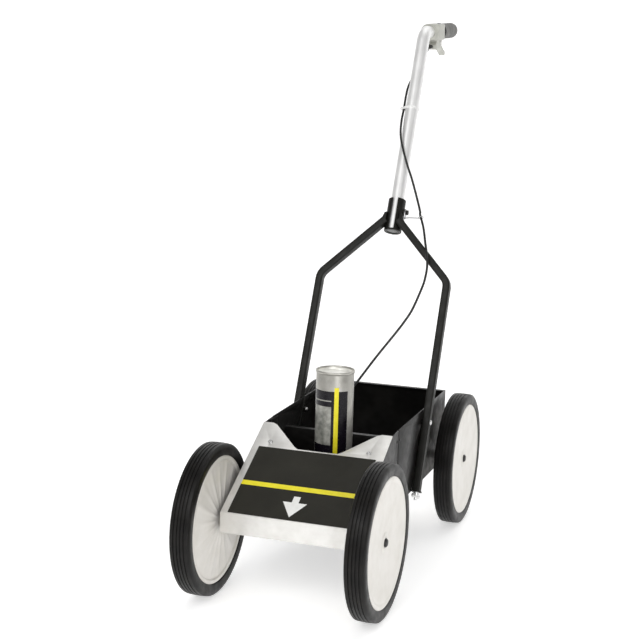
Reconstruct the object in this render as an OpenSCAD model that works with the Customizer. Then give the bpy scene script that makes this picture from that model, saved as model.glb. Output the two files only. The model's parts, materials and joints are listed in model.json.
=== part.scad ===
// Walk-behind line striping machine: four wheels, a folded steel tray for
// aerosol cans, a spray bay for one inverted can, and a push handle with a
// trigger and a pull cable. Millimetres, +Z up, +Y to the rear, +X to the
// right of someone who stands in front of the machine. The origin is on the
// ground under the middle of the whole machine.

/* [Wheels] */
// Tyre outside radius (10 inch wheel)
tyre_r = 127; // [120:0.5:127]
// Width of the tyre tread
tyre_w = 36; // [32:1:38]
// Distance between the wheel centre planes of one axle
track = 290; // [288:1:294]
// Distance between the two axles
wheelbase = 540; // [536:1:546]
// Number of ribs on the inner face of each wheel
wheel_ribs = 18; // [10:1:24]

/* [Axles] */
// Axle rod radius (3/8 inch rod)
axle_r = 4.75; // [4:0.05:5]

/* [Tray] */
// Outside width of the tray
tray_w = 234; // [232:1:235]
// Sheet thickness of the tray and hood
sheet = 1.5; // [1.2:0.1:1.8]
// Height of the divider plate above the ground
divider_z = 225; // [205:1:235]

/* [Front panel] */
// Thickness of the aluminium panel
panel_t = 1.6; // [1.2:0.1:2]
// Depth of the notch between the two ears, along the slope
notch_s = 57; // [50:1:58]

/* [Handle] */
// Lean of the yoke and the handle tube from vertical, degrees
lean = 25; // [24.5:0.1:25.5]
// Outside radius of the handle tube (1 inch tube)
tube_r = 12.7; // [12:0.1:12.7]
// Wall of the handle tube
tube_wall = 1.65; // [1.2:0.05:2.4]
// Rise of the top, rearward part of the handle, degrees
rise = 4; // [3:0.5:5]
// Outside radius of the hand grip
grip_r = 16; // [15:0.1:16.5]

/* [Can] */
// Outside radius of the aerosol can
can_r = 33; // [31:0.1:33]

/* [Cable] */
// Radius of the cable housing
cable_r = 2.2; // [1.8:0.1:2.3]

/* [Hidden] */
$fn = 64;

mid = -129;                 // moves the geometry from the wheelbase centre to the box centre
fa = -wheelbase / 2;        // front axle
ra = wheelbase / 2;         // rear axle
az = tyre_r;                // axle height
hw = tray_w / 2;
bush_r = 8;
floor_z = 122;
rear_y = 262;
seam_y = -68;
// sloped panel: top edge and fold, on the outer surface
p_top = [-107.5, 258.1];
p_fold = [-296, 149.1];
slope = atan2(p_top[1] - p_fold[1], p_top[0] - p_fold[0]);
slope_l = norm(p_top - p_fold);
chan_z = 114;               // underside of the folded front channel
can_y = -72;
// yoke plane: point at its foot, on the front of the arms
yo = [0, 29.4, 136.3];
tube_n = 22;                // handle axis behind the front of the arms
arm_w = 14; arm_d = 18; arm_wall = 1.6;
arm_u = 119; arm_v0 = -10; arm_vb = 375; arm_ri = 20;
arm_turn = 43.8; arm_l = 172;
col_v0 = 484; col_l = 66; col_r = 17;
scr_v = 525;
bolt_v = 117;
// handle: corner where the leaning and the rearward axes meet
hc = [434, 952];
bend_r = 34;
tube_v0 = 486.4;
grip_y0 = 112; grip_l = 108; // along the rearward part, from the corner
piv = [98, -22];            // trigger pivot, along and below the rearward axis
lev_a = -25.8;              // lever angle against the rearward axis
act_y = -10; act_z = 112;   // actuator pivot

module w() { translate([0, mid, 0]) children(); }
// X to Y, Y to Z, extrusion to X
module yz(x0) { translate([x0, 0, 0]) rotate([90, 0, 90]) children(); }
// frame of the leaning yoke: X across, Z along the lean, Y to its rear
module yk() { w() translate(yo) rotate([-lean, 0, 0]) children(); }
// arm outline frame: X across, Y along the lean, Z through the arm
module uv() { yk() translate([0, arm_d, 0]) rotate([90, 0, 0]) children(); }
// frame of the rearward handle part: Y along it, Z up from it
module hb() { w() translate([0, hc[0], hc[1]]) rotate([rise, 0, 0]) children(); }
// frame on the sloped panel: X across, Y down the slope, Z out of the panel
module sl() { w() translate([0, p_top[0], p_top[1]]) rotate([180 + slope, 0, 0]) mirror([0, 0, 1]) children(); }
module xcyl(r, l, x0 = 0) { translate([x0, 0, 0]) rotate([0, 90, 0]) cylinder(r = r, h = l); }
module both() { children(); mirror([1, 0, 0]) children(); }

// ---------- curves ----------
function cr(a, b, c, d, t) = 0.5 * (2 * b + (c - a) * t + (2 * a - 5 * b + 4 * c - d) * t * t + (3 * b - 3 * c + d - a) * t * t * t);
function route(p, m) = let (n = len(p))
  [for (i = [0 : n - 2]) for (k = [0 : (i == n - 2 ? m : m - 1)])
    cr(p[max(0, i - 1)], p[i], p[i + 1], p[min(n - 1, i + 2)], k / m)];
function unit(v) = v / norm(v);
function tang(p, i) = unit(p[min(len(p) - 1, i + 1)] - p[max(0, i - 1)]);
module sweep(p, r, s, ref = [1, 0, 0]) {
  n = len(p);
  pts = [for (i = [0 : n - 1]) let (t = tang(p, i), a = unit(cross(t, ref)), b = cross(t, a))
    for (k = [0 : s - 1]) p[i] + r * (cos(360 * k / s) * a + sin(360 * k / s) * b)];
  fs = concat(
    [[for (k = [0 : s - 1]) s - 1 - k]],
    [for (i = [0 : n - 2]) for (k = [0 : s - 1])
      [i * s + k, i * s + (k + 1) % s, (i + 1) * s + (k + 1) % s, (i + 1) * s + k]],
    [[for (k = [0 : s - 1]) (n - 1) * s + k]]);
  polyhedron(points = pts, faces = [for (f = fs) [for (j = [len(f) - 1 : -1 : 0]) f[j]]], convexity = 6);
}

// cable from the trigger down the handle tube to the guide beside the collar
up_pts = [[0, 479, 929], [0, 468, 921], [-2, 451, 905], [-7, 430, 884], [-13, 410, 864], [-17, 392, 846],
  [-17, 376, 827], [-17, 363, 800], [-16, 345, 775], [-10, 322, 750], [0, 305, 726],
  [14, 292, 694], [27, 283, 667], [43, 270, 629], [53, 258, 606]];
// cable from the guide down to the spray bay
lo_pts = [[54, 255, 601], [65, 241, 578], [75, 221, 552], [80, 212, 539], [84, 203, 527], [88, 191, 509],
  [87, 179, 485], [82, 167, 463], [73, 150, 433], [62, 136, 411], [50, 122, 391],
  [23, 94, 349], [0, 62, 309], [-9, 45, 292], [-12, 24, 269], [-10, 6, 248], [-6, -9, 226], [-2, -17, 206], [0, -19, 192]];

// ---------- wheels ----------
module at_wheel(sx, sy) { w() translate([sx * track / 2, sy > 0 ? ra : fa, az]) rotate([0, 90, 0]) mirror([0, 0, sx > 0 ? 0 : 1]) children(); }

module tyre(sx, sy) {
  color([0.08, 0.08, 0.08]) at_wheel(sx, sy)
    rotate_extrude($fn = 128) polygon([[106.6, -15], [108, -16.6], [118, -tyre_w / 2], [123.6, -tyre_w / 2], [126.4, -15.4],
      [tyre_r, -13], [tyre_r, 13], [126.4, 15.4], [123.6, tyre_w / 2], [118, tyre_w / 2], [108, 16.6], [106.6, 15]]);
}
module wheel(sx, sy) {
  color([0.87, 0.85, 0.83]) at_wheel(sx, sy) difference() {
    union() {
      // rim, dished outer face, coned inner face and hub in one turned profile
      rotate_extrude($fn = 128) polygon([[bush_r, -20], [15, -20], [15, -19], [98.5, -13.3], [99.6, -16], [106.6, -16], [106.6, 16.6],
        [99, 16.2], [20, 12], [17, 12.6], [bush_r, 12.6]]);
      // low ribs on the coned face
      for (i = [0 : wheel_ribs - 1]) rotate([0, 0, i * 360 / wheel_ribs])
        rotate([90, 0, 0]) translate([0, 0, -2.2]) linear_extrude(4.4)
          polygon([[14, -20], [22, -19.6], [96.5, -14.5], [96.5, -12], [14, -17]]);
    }
    translate([0, 0, -40]) cylinder(r = bush_r, h = 80);
    // sealed hollow of the moulding
    rotate_extrude($fn = 128) polygon([[18.5, -15.4], [97.5, -10], [102.6, -12.4], [102.6, 13], [98, 12.9], [22, 8.8], [18.5, 8.8]]);
  }
}
module bush(sx, sy) {
  color([0.55, 0.53, 0.48]) at_wheel(sx, sy) difference() {
    union() { translate([0, 0, -20]) cylinder(r = bush_r, h = 31); translate([0, 0, -21.5]) cylinder(r = 12, h = 1.5); }
    translate([0, 0, -40]) cylinder(r = axle_r + 0.05, h = 80);
  }
}
module tyre_front_left() tyre(-1, -1);
module tyre_front_right() tyre(1, -1);
module tyre_rear_left() tyre(-1, 1);
module tyre_rear_right() tyre(1, 1);
module wheel_front_left() wheel(-1, -1);
module wheel_front_right() wheel(1, -1);
module wheel_rear_left() wheel(-1, 1);
module wheel_rear_right() wheel(1, 1);
module bush_front_left() bush(-1, -1);
module bush_front_right() bush(1, -1);
module bush_rear_left() bush(-1, 1);
module bush_rear_right() bush(1, 1);

axle_end = track / 2 + 12.2;
module axle(y) { color([0.5, 0.5, 0.5]) w() translate([0, y, az]) xcyl(axle_r, 2 * axle_end, -axle_end); }
module front_axle() axle(fa);
module rear_axle() axle(ra);
module axle_spacers() {
  color([0.6, 0.6, 0.6]) w() both() for (y = [fa, ra]) translate([0, y, az]) difference() {
    xcyl(8, track / 2 - 21.9 - hw, hw);
    xcyl(axle_r, 40, hw - 1);
  }
}
module axle_caps() {
  color([0.1, 0.1, 0.1]) w() both() for (y = [fa, ra]) translate([0, y, az]) difference() {
    union() { xcyl(7.2, 1.6, track / 2 + 12.8); xcyl(6.4, 4.8, track / 2 + 11.4); }
    xcyl(axle_r, axle_end - track / 2, track / 2);
  }
}

// ---------- tray and hood ----------
module tray_shell() {
  color([0.1, 0.1, 0.1]) w() difference() {
    union() {
      translate([-hw + sheet, -244.5, floor_z]) cube([tray_w - 2 * sheet, rear_y + 244.5 - sheet, sheet]);
      translate([-hw + sheet, -246, chan_z + panel_t]) cube([tray_w - 2 * sheet, sheet, floor_z + sheet - chan_z - panel_t]);
      translate([-hw, rear_y - sheet, floor_z]) cube([tray_w, sheet, 140]);
      both() yz(hw - sheet) linear_extrude(sheet) polygon([[seam_y + 1.5, floor_z], [rear_y - sheet, floor_z], [rear_y - sheet, 262], [seam_y + 1.5, 258.8]]);
      // hem along the inside of the rear wall
      translate([-hw + sheet, rear_y - sheet - 9, 260.5]) cube([tray_w - 2 * sheet, 9, sheet]);
    }
    translate([0, can_y, floor_z - 1]) cylinder(r = 44, h = 5);
    translate([-3.5, -30, floor_z - 1]) cube([7, 18, 5]);
    // holes of the arm bolts
    translate(yo) rotate([-lean, 0, 0]) translate([0, arm_d / 2, bolt_v]) xcyl(3, 300, -150);
  }
}
module rear_axle_beam() {
  color([0.12, 0.12, 0.12]) w() translate([0, ra, az]) difference() {
    translate([-hw, -8, -9]) cube([tray_w, 17, 18]);
    translate([-hw + 3, -6, -7]) cube([tray_w - 6, 13, 14]);
    xcyl(axle_r, 300, -150);
  }
}
// side of the spray hood, with the lap behind the tray side and the flange under the panel
module hood_side() {
  h0 = panel_t / cos(slope);
  difference() {
    union() {
      yz(hw - sheet) linear_extrude(sheet) polygon([
        [seam_y - 1.5, floor_z], [seam_y - 1.5, 258.3], [p_top[0] + 0.4, 258.1 - h0 + 0.2], [p_fold[0] + panel_t, p_fold[1] - h0 + panel_t * tan(slope)],
        [p_fold[0] + panel_t, chan_z + panel_t], [-246, chan_z + panel_t], [-246, floor_z]]);
      // lap strip
      yz(hw - 2 * sheet) linear_extrude(sheet) polygon([[-84, floor_z + sheet], [-48, floor_z + sheet], [-48, 256], [-84, 256]]);
    }
    translate([0, fa, az]) xcyl(axle_r, 300, 0);
  }
  // screw flange under the ear
  sl_local() translate([80, 34, -panel_t - sheet]) difference() { cube([hw - sheet - 80, 26, sheet]); translate([8.5, 12.5, -1]) cylinder(r = 1.8, h = 4); }
}
module sl_local() { translate([0, p_top[0], p_top[1]]) rotate([180 + slope, 0, 0]) mirror([0, 0, 1]) children(); }
module hood_side_right() { color([0.12, 0.12, 0.12]) w() hood_side(); }
module hood_side_left() { color([0.12, 0.12, 0.12]) w() mirror([1, 0, 0]) hood_side(); }

// one folded sheet: slope, front face and lower flange; the notch and the screw holes are cut out
p_in = [p_top[0] + panel_t * sin(slope), p_top[1] - panel_t * cos(slope)];
f_in = p_fold[0] + panel_t;
module front_panel() {
  color([0.8, 0.81, 0.82]) difference() {
    w() yz(-hw) linear_extrude(tray_w) polygon([p_top, p_fold, [p_fold[0], chan_z], [-250, chan_z], [-250, chan_z + panel_t],
      [f_in, chan_z + panel_t], [f_in, p_in[1] + (f_in - p_in[0]) * tan(slope)], p_in]);
    sl() translate([0, 0, -5]) linear_extrude(10) polygon([[-99, -9], [-99, 0], [-91, 4], [-43, notch_s - 5], [-36, notch_s], [36, notch_s], [43, notch_s - 5], [91, 4], [99, 0], [99, -9]]);
    sl() both() translate([88.5, 46.5, -5]) cylinder(r = 2, h = 10);
  }
}
module panel_decal() {
  color([0.2, 0.18, 0.17]) sl() translate([-105, 60, 0]) cube([210, 155.5, 0.35]);
}
module panel_screws() {
  color([0.75, 0.75, 0.75]) sl() both() translate([88.5, 46.5, 0]) difference() {
    union() { translate([0, 0, 0]) cylinder(r1 = 4.6, r2 = 3.4, h = 2); translate([0, 0, -8]) cylinder(r = 1.8, h = 8); }
    translate([-3, -0.5, 1.2]) cube([6, 1, 2]);
    translate([-0.5, -3, 1.2]) cube([1, 6, 2]);
  }
}
module rivet(l) { rotate([0, 90, 0]) { cylinder(r = 1.6, h = l); translate([0, 0, l]) cylinder(r1 = 3.4, r2 = 1.8, h = 1.2); } }
module tray_rivets() {
  color([0.15, 0.15, 0.15]) w() both() {
    for (z = [140, 190, 240]) translate([hw - 2 * sheet - 0.6, seam_y - 8, z]) rivet(2 * sheet + 0.6);
    for (z = [140, 190, 240]) translate([hw - 2 * sheet - 0.6, seam_y + 9, z]) rivet(2 * sheet + 0.6);
  }
}

// ---------- spray bay ----------
module divider_plate() {
  color([0.1, 0.1, 0.1]) w() difference() {
    union() {
      translate([-hw + sheet, -2.7, floor_z + sheet]) cube([tray_w - 2 * sheet, sheet, divider_z - floor_z - sheet]);
      translate([-hw + sheet, -2.7, divider_z - sheet]) cube([tray_w - 2 * sheet, 12, sheet]);
      translate([-hw + sheet, -2.7, floor_z + sheet]) cube([tray_w - 2 * sheet, 12, sheet]);
    }
    translate([0, 10, 185]) rotate([90, 0, 0]) cylinder(r = 2.6, h = 20);
  }
}
module can_cradle() {
  color([0.13, 0.13, 0.13]) w() difference() {
    union() {
      translate([-58, -122, 160]) cube([116, 122 - 2.7, 1.5]);
      translate([-58, -122, floor_z + sheet]) cube([116, 1.5, 38]);
      translate([-58, -132, floor_z + sheet]) cube([116, 11, 1.5]);
      translate([-58, -4.2, 160]) cube([116, 1.5, 14]);
    }
    translate([0, can_y, 150]) cylinder(r = 37, h = 20);
    translate([0, -20, 150]) cylinder(r = 5, h = 20);
  }
}
module cradle_grommet() {
  color([0.05, 0.05, 0.05]) w() translate([0, can_y, 0]) rotate_extrude() polygon([[can_r + 0.6, 157], [41, 157], [41, 160], [37, 160], [37, 161.5], [41, 161.5], [41, 165], [can_r + 0.6, 165]]);
}
module actuator_bracket() {
  color([0.6, 0.6, 0.6]) w() difference() {
    union() {
      translate([-14, -24, floor_z - sheet]) cube([28, 30, sheet]);
      both() translate([11, -22, 104]) cube([sheet, 26, floor_z - 104 - sheet]);
    }
    translate([0, act_y, act_z]) xcyl(2.5, 60, -30);
    translate([-3.5, -30, 115]) cube([7, 18, 10]);
  }
}
module actuator_pin() {
  color([0.75, 0.75, 0.75]) w() translate([0, act_y, act_z]) { xcyl(2.5, 29, -14.5); xcyl(4, 1.5, -16); xcyl(4, 1.5, 14.5); }
}
// forked lever that lifts the spray tip, with the eye for the inner wire
module actuator_lever() {
  color([0.7, 0.7, 0.7]) w() difference() {
    union() {
      translate([0, act_y, act_z]) xcyl(5, 20.6, -10.3);
      translate([-10.3, -84, 112.5]) cube([20.6, 74, 3]);
      both() translate([7, -40, 107]) cube([3.3, 34, 8]);
      translate([-1.5, -24, 112.5]) cube([3, 10, 14]);
    }
    translate([0, act_y, act_z]) xcyl(2.55, 60, -30);
    translate([-5.6, -90, 105]) cube([11.2, 18 + 0, 20]);
    translate([0, can_y, 105]) cylinder(r = 5.6, h = 20);
    translate([0, -19, 120]) xcyl(1.2, 20, -10);
    // relief for the spring
    translate([-6.8, act_y - 8.4, 112]) cube([4.4, 9, 4]);
  }
}
// torsion spring around the lever hub, drawn as its sleeve
module actuator_spring() {
  color([0.7, 0.7, 0.72]) w() translate([0, act_y, act_z]) difference() { xcyl(7.1, 3.2, -6.2); xcyl(5.9, 4, -6.6); }
}
module cable_anchor() {
  color([0.6, 0.6, 0.6]) w() difference() {
    union() { translate([-9, -4.2, 164 + 10]) cube([18, 1.5, 20]); translate([-9, -28, 174]) cube([18, 25.3, 2]); }
    translate([0, -19, 170]) cylinder(r = 3.5, h = 10);
    translate([0, 10, 185]) rotate([90, 0, 0]) cylinder(r = 2.6, h = 20);
  }
}
module cable_adjuster() {
  color([0.72, 0.7, 0.62]) w() translate([0, -19, 0]) difference() {
    union() {
      translate([0, 0, 168.5]) cylinder(r = 3.5, h = 18);
      translate([0, 0, 176]) cylinder(r = 6, h = 4, $fn = 6);
      translate([0, 0, 170.5]) cylinder(r = 6, h = 3.5, $fn = 6);
      translate([0, 0, 185]) cylinder(r = 4, h = 7);
    }
    translate([0, 0, 160]) cylinder(r = 1.3, h = 24);
  }
}
module inner_wire() { color([0.5, 0.5, 0.5]) w() translate([0, -19, 126.5]) cylinder(r = 0.8, h = 41); }

// ---------- yoke ----------
module arm_bar(g) {
  translate([arm_u + g, arm_v0 - g, g]) cube([arm_w - 2 * g, arm_vb - arm_v0 + g, arm_d - 2 * g]);
  translate([arm_u - arm_ri, arm_vb, g]) rotate_extrude(angle = arm_turn) translate([arm_ri + g, 0]) square([arm_w - 2 * g, arm_d - 2 * g]);
  translate([arm_u - arm_ri, arm_vb, g]) rotate([0, 0, arm_turn]) translate([arm_ri + g, 0, 0]) cube([arm_w - 2 * g, arm_l, arm_d - 2 * g]);
}
module yoke_arm() {
  difference() {
    union() {
      uv() difference() { arm_bar(0); arm_bar(arm_wall); }
      // gusset where the arm runs into the collar
      uv() translate([0, 0, 2]) linear_extrude(arm_d - 6) polygon([[10, 500], [31, 493.5], [25, 501], [20.6, 508.5], [17.6, 518], [10, 518]]);
    }
    yk() translate([0, tube_n, 400]) cylinder(r = col_r, h = 200);
    yk() translate([-60, -5, 460]) cube([74, 60, 120]);
    yk() translate([0, arm_d / 2, bolt_v]) xcyl(3, 300, 0);
  }
}
module yoke_arm_right() { color([0.16, 0.16, 0.16]) yoke_arm(); }
module yoke_arm_left() { color([0.16, 0.16, 0.16]) mirror([1, 0, 0]) yoke_arm(); }
module yoke_collar() {
  color([0.1, 0.1, 0.1]) yk() translate([0, tube_n, 0]) difference() {
    union() {
      translate([0, 0, col_v0]) cylinder(r = col_r, h = col_l);
      translate([0, 0, scr_v]) xcyl(6.5, 19.5, 0);
    }
    translate([0, 0, col_v0 + 1.6]) cylinder(r = tube_r + 0.05, h = 120);
    translate([0, 0, col_v0 - 1]) cylinder(r = 10, h = 10);
    translate([-5.25, -40, col_v0 + 3]) cube([10.5, 40, 120]);
    translate([0, 0, scr_v]) xcyl(3.05, 40, 0);
  }
}
module yoke_lugs() {
  color([0.12, 0.12, 0.12]) both() yk() difference() {
    translate([hw, 0, arm_v0 - 2.5]) cube([18, arm_d, 2.5]);
    translate([arm_u + arm_w / 2, arm_d / 2, arm_v0 - 5]) cylinder(r = 3, h = 10);
  }
}
module arm_backing_strips() {
  color([0.55, 0.55, 0.55]) both() yk() difference() {
    translate([hw - sheet - 2, 4, 80]) cube([2, 10, 56]);
    translate([0, arm_d / 2, bolt_v]) xcyl(3, 300, 0);
  }
}
module arm_bolts() {
  color([0.8, 0.8, 0.8]) both() yk() translate([0, arm_d / 2, bolt_v]) {
    xcyl(3, 28.4, 105);
    translate([arm_u + arm_w, 0, 0]) rotate([0, 90, 0]) cylinder(r1 = 4.8, r2 = 3, h = 2.4);
    translate([hw - sheet - 2 - 5, 0, 0]) rotate([0, 90, 0]) cylinder(r = 5.8, h = 5, $fn = 6);
    difference() { xcyl(5.8, 2, hw); xcyl(2.9, 4, hw - 1); }
  }
}
module arm_studs() {
  color([0.75, 0.75, 0.75]) both() yk() translate([arm_u + arm_w / 2, arm_d / 2, 0]) {
    translate([0, 0, -27]) cylinder(r = 3, h = 32);
    translate([-5.4, -7.4, -3]) cube([10.8, 14.8, 8]);
  }
}
module wings(r0, r1, t, h) {
  for (s = [0, 180]) rotate([0, 0, s]) rotate([90, 0, 0]) translate([0, 0, -t / 2]) linear_extrude(t)
    union() { polygon([[0, 0], [r0, 0], [r1 - 3, h - 6], [r1 - 3, h], [0, 6]]); translate([r1 - 4, h - 4]) circle(r = 4); }
}
module arm_wing_nuts() {
  color([0.8, 0.8, 0.8]) both() yk() translate([arm_u + arm_w / 2, arm_d / 2, arm_v0 - 2.5]) mirror([0, 0, 1]) difference() {
    union() { cylinder(r1 = 5.6, r2 = 4.6, h = 7); rotate([0, 0, 62]) wings(4.6, 10.8, 2.2, 11); }
    translate([0, 0, -1]) cylinder(r = 3, h = 20);
  }
}
module collar_clamp_screw() {
  color([0.35, 0.35, 0.35]) yk() translate([0, tube_n, scr_v]) {
    xcyl(3, 12, 12.9);
    translate([21.8, 0, 0]) rotate([0, 90, 0]) cylinder(r = 5, h = 3.6, $fn = 6);
  }
}
// wire arm that carries the cable clear of the collar
module cable_guide() {
  color([0.3, 0.3, 0.3]) yk() {
    translate([19.5, tube_n, scr_v]) difference() {
      union() { xcyl(6.5, 1.8); translate([0, -6, -14.8]) cube([1.8, 6, 15.4]); }
      xcyl(3.6, 6, -1);
    }
    translate([19.9, 17.2, 511.4]) rotate([0, 2.4, -17]) xcyl(0.9, 33.2);
    translate([56, 7.5, 511.4]) rotate([-6, -20, 0]) rotate_extrude() translate([4.6, 0]) circle(r = 0.9);
  }
}

// ---------- handle ----------
module ring_rod(l) { difference() { cylinder(r = tube_r, h = l); translate([0, 0, -1]) cylinder(r = tube_r - tube_wall, h = l + 2); } }
module handle_tube() {
  a0 = 90 + rise; a1 = 180 - lean; turn = a1 - a0; tl = bend_r * tan(turn / 2);
  va = (hc[1] - yo[2] + tube_n * sin(lean)) / cos(lean);
  cb = [hc[0] - tl * sin(lean) + bend_r * cos(lean), hc[1] - tl * cos(lean) - bend_r * sin(lean)];
  color([0.85, 0.86, 0.87]) w() translate([0, cb[0], cb[1]]) rotate([90, 0, 90]) rotate([0, 0, a0]) {
    rotate_extrude(angle = turn) translate([bend_r, 0]) difference() { circle(r = tube_r); circle(r = tube_r - tube_wall); }
    translate([bend_r, -0.02, 0]) rotate([90, 0, 0]) ring_rod(grip_y0 + grip_l - 4.02 - tl);
    rotate([0, 0, turn]) translate([bend_r, 0.02, 0]) rotate([-90, 0, 0]) ring_rod(va - tl - tube_v0 - 0.02);
  }
}
module hand_grip() {
  color([0.33, 0.33, 0.33]) hb() translate([0, grip_y0, 0]) rotate([-90, 0, 0]) difference() {
    union() { cylinder(r = grip_r + 1, h = 4); cylinder(r = grip_r, h = grip_l); }
    translate([0, 0, -1]) cylinder(r = tube_r, h = grip_l - 3);
  }
}
module trigger_housing() {
  color([0.8, 0.8, 0.76]) hb() difference() {
    union() {
      translate([0, 32, 0]) rotate([-90, 0, 0]) cylinder(r = 17, h = 54);
      translate([0, 85, 0]) rotate([-90, 0, 0]) cylinder(r = 14.6, h = 25);
      for (z = [-12.5, 12.5]) translate([18.5, 34, z]) rotate([-90, 0, 0]) cylinder(r = 3.5, h = 46);
      translate([4, 34, -12.5]) cube([18, 46, 25]);
      translate([4, 34, -16]) cube([14.5, 46, 32]);
      yz(-9) linear_extrude(18) polygon([[68, -8], [66, -20], [56, -26], [56, -34], [68, -36], [82, -33], [104, -31], [110, -24], [110, -8]]);
    }
    translate([0, 24, 0]) rotate([-90, 0, 0]) cylinder(r = tube_r, h = 100);
    // slot for the lever
    yz(-6.6) linear_extrude(13.2) polygon([[76, -18], [76, -40], [120, -40], [120, -14], [92, -14]]);
    translate([0, piv[0], piv[1]]) xcyl(2.5, 40, -20);
    // way of the inner wire, and the seat of the ferrule
    translate([0, 50, -30]) rotate([-90, 0, 0]) cylinder(r = 1.5, h = 30);
    translate([0, 86, -30]) cylinder(r = 2, h = 16);
  }
}
module trigger_lever() {
  color([0.78, 0.78, 0.74]) hb() translate([0, piv[0], piv[1]]) difference() {
    union() {
      xcyl(6.2, 12, -6);
      yz(-6) linear_extrude(12) union() {
        rotate([0, 0, lev_a]) polygon([[0, -5.4], [51, -4], [51, 2.4], [22, 2.4], [0, 5.4]]);
        rotate([0, 0, lev_a]) translate([52, -0.8]) circle(r = 4.4);
        polygon([[-3, 4], [-13, -4], [-14, -10], [-8, -12], [0, -5]]);
      }
    }
    xcyl(2.55, 40, -20);
    translate([0, -11, -8.6]) xcyl(1.2, 40, -20);
    // relief for the spring
    translate([-6.1, 0, 0]) xcyl(4.6, 3, 0);
  }
}
module trigger_pin() {
  color([0.7, 0.7, 0.7]) hb() translate([0, piv[0], piv[1]]) { xcyl(2.5, 18, -9); xcyl(3.8, 1.2, 9); xcyl(3.8, 1.2, -10.2); }
}
module trigger_spring() {
  color([0.6, 0.6, 0.6]) hb() translate([0, piv[0], piv[1]]) difference() { xcyl(4.2, 2.6, -5.9); xcyl(3.1, 4, -7); }
}
module housing_screw() {
  color([0.3, 0.3, 0.3]) hb() translate([9, 96, -12.5]) { xcyl(3.4, 2.4, 0); difference() { xcyl(3.4, 3.2, 0); xcyl(1.6, 3, 2.2); } }
}
module cable_ferrule() {
  color([0.08, 0.08, 0.08]) hb() translate([0, 43, -29.6]) rotate([-90, 0, 0]) difference() {
    union() { translate([0, 0, 3]) cylinder(r = 3.8, h = 10); cylinder(r = 3.1, h = 5); }
    translate([0, 0, -1]) cylinder(r = 1.2, h = 30);
  }
}
module cable_tie() {
  color([0.92, 0.92, 0.92]) yk() translate([0, tube_n, 741]) difference() {
    union() { hull() { cylinder(r = 14, h = 4.4, $fn = 32); translate([-17, 0, 0]) cylinder(r = 3.7, h = 4.4, $fn = 24); }
      translate([-23.4, -2.6, -0.6]) cube([5, 5.2, 5.6]);
      translate([-25.6, -0.6, 1]) cube([5, 1.2, 2.4]); }
    translate([0, 0, -1]) hull() { cylinder(r = 12.9, h = 7, $fn = 32); translate([-17, 0, 0]) cylinder(r = 2.4, h = 7, $fn = 24); }
  }
}
module cable_upper() { color([0.15, 0.15, 0.15]) w() sweep(route(up_pts, 5), cable_r, 8); }
module cable_lower() { color([0.15, 0.15, 0.15]) w() sweep(route(lo_pts, 4), cable_r, 8); }

// ---------- aerosol can, valve down ----------
module can_body() {
  color([0.6, 0.6, 0.6]) w() translate([0, can_y, 0]) difference() {
    translate([0, 0, 150]) cylinder(r = can_r, h = 202);
    translate([0, 0, 149]) cylinder(r = can_r - 0.9, h = 204);
  }
}
module can_base_ring() {
  color([0.75, 0.75, 0.75]) w() translate([0, can_y, 0]) rotate_extrude()
    polygon([[0, 346], [18, 347], [28, 351.2], [31, 355.4], [32.4, 356], [34.3, 355.4], [34.3, 352.6], [33, 352], [31.6, 352], [29, 349], [18, 344.8], [0, 343.6]]);
}
module can_shoulder() {
  color([0.7, 0.7, 0.7]) w() translate([0, can_y, 0]) rotate_extrude()
    polygon([[can_r, 150], [can_r, 147.6], [30, 143.5], [16, 136], [14.6, 134], [13.4, 134], [13.4, 135.4], [15, 137.4], [29, 144.8], [can_r - 0.9, 149], [can_r - 0.9, 150]]);
}
module valve_cup() {
  color([0.8, 0.78, 0.7]) w() translate([0, can_y, 0]) union() {
    rotate_extrude() polygon([[2.6, 133], [9, 133], [12.6, 130.6], [15, 130.6], [15.4, 132.2], [14.8, 134], [13.4, 134], [13.4, 137], [4, 139], [2.6, 139]]);
  }
}
module spray_tip() {
  color([0.9, 0.9, 0.88]) w() translate([0, can_y, 0]) {
    translate([0, 0, 122]) cylinder(r = 2.3, h = 13);
    translate([0, 0, 116.2]) cylinder(r = 8.4, h = 8);
    difference() { translate([0, 0, 110.6]) cylinder(r = 5, h = 6); translate([0, 0, 110]) cylinder(r = 1, h = 4); }
  }
}

tyre_front_left();
tyre_front_right();
tyre_rear_left();
tyre_rear_right();
wheel_front_left();
wheel_front_right();
wheel_rear_left();
wheel_rear_right();
bush_front_left();
bush_front_right();
bush_rear_left();
bush_rear_right();
front_axle();
rear_axle();
axle_spacers();
axle_caps();
tray_shell();
rear_axle_beam();
hood_side_left();
hood_side_right();
front_panel();
panel_decal();
panel_screws();
tray_rivets();
divider_plate();
can_cradle();
cradle_grommet();
actuator_bracket();
actuator_pin();
actuator_lever();
actuator_spring();
inner_wire();
cable_anchor();
cable_adjuster();
yoke_arm_left();
yoke_arm_right();
yoke_collar();
yoke_lugs();
arm_backing_strips();
arm_bolts();
arm_studs();
arm_wing_nuts();
collar_clamp_screw();
cable_guide();
handle_tube();
hand_grip();
trigger_housing();
trigger_lever();
trigger_pin();
trigger_spring();
housing_screw();
cable_ferrule();
cable_upper();
cable_lower();
cable_tie();
can_body();
can_base_ring();
can_shoulder();
valve_cup();
spray_tip();
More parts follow.
